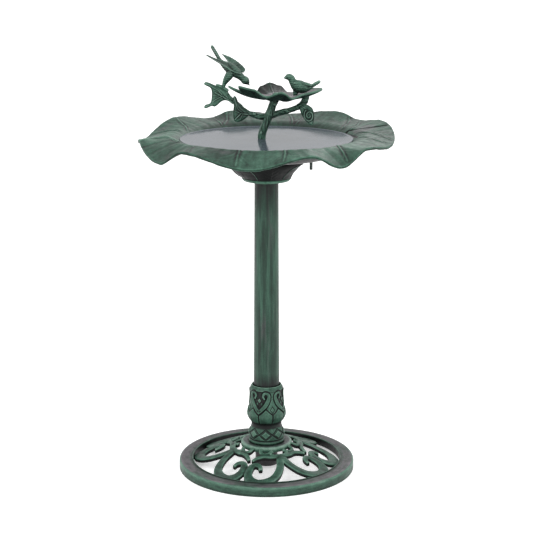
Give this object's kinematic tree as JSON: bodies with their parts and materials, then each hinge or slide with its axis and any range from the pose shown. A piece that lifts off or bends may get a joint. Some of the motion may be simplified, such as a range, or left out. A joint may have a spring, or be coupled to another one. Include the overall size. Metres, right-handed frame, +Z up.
{
  "type": "bird bath",
  "caption": "Pedestal bird bath: openwork scroll foot, lotus socket, tapered column, wavy leaf bowl and a twig ornament with a leaf dish and birds.",
  "frame": {"origin": "centre of the foot ring's flat underside, on the column's axis, at ground level", "axes": "+Z up along the column, -Y towards the front where the leaf bowl droops, +X to the right seen from the front"},
  "size_m": [0.4616, 0.4622, 0.7925],
  "materials": {
    "foot_green": "satin, brushed antique green with dark and mauve-grey wash",
    "column_green": "satin, upright brushed antique green over black",
    "relief_green": "satin, dark green with light rubbed edges",
    "leaf_green": "satin, light verdigris green with pale veins and grey-mauve patches",
    "twig_green": "satin, dark-edged green bark",
    "bird_green": "satin, brushed green with dark recesses",
    "black_tube": "matte black moulded plastic",
    "seal_rubber": "matte black rubber",
    "stopper_rubber": "matte dark rubber",
    "zinc": "bright zinc-plated steel"
  },
  "bodies": {
    "stand": {"foot_ring": "foot_green", "foot_hub": "foot_green", "foot_scrolls_1": "foot_green", "foot_scrolls_2": "foot_green", "foot_scrolls_3": "foot_green", "foot_scrolls_4": "foot_green", "hub_tube": "black_tube", "lotus_socket": "relief_green", "socket_screws": "zinc", "column_tube": "column_green", "capital": "relief_green", "tie_rod": "zinc", "rod_washer": "zinc", "rod_nut": "zinc", "capital_nut": "zinc", "bowl_gasket": "seal_rubber"},
    "bowl": {"leaf_bowl": "leaf_green", "bowl_collar": "relief_green", "collar_screws": "zinc", "stem_bush": "relief_green", "bush_seal": "seal_rubber", "bush_nut": "black_tube"},
    "drain": {"drain_plug": "stopper_rubber"},
    "ornament": {"twig_stem": "twig_green", "left_branch": "twig_green", "right_branch": "twig_green", "ivy_leaf": "leaf_green", "drooping_leaf": "leaf_green", "curled_leaf": "leaf_green", "leaf_dish": "leaf_green", "landing_bird": "bird_green", "perched_bird": "bird_green"}
  },
  "joints": [
    {"name": "bowl_bayonet", "type": "hinge", "parent": "stand", "child": "bowl", "pos_m": [0, 0, 0.59], "axis": [0, 0, 1], "range_deg": [0, 30]},
    {"name": "drain_lift", "type": "slide", "parent": "bowl", "child": "drain", "axis": [0, 0, 1], "range_m": [0, 0.016]},
    {"name": "ornament_swivel", "type": "hinge", "parent": "bowl", "child": "ornament", "pos_m": [0, 0, 0.598], "axis": [0, 0, 1], "continuous": true}
  ]
}
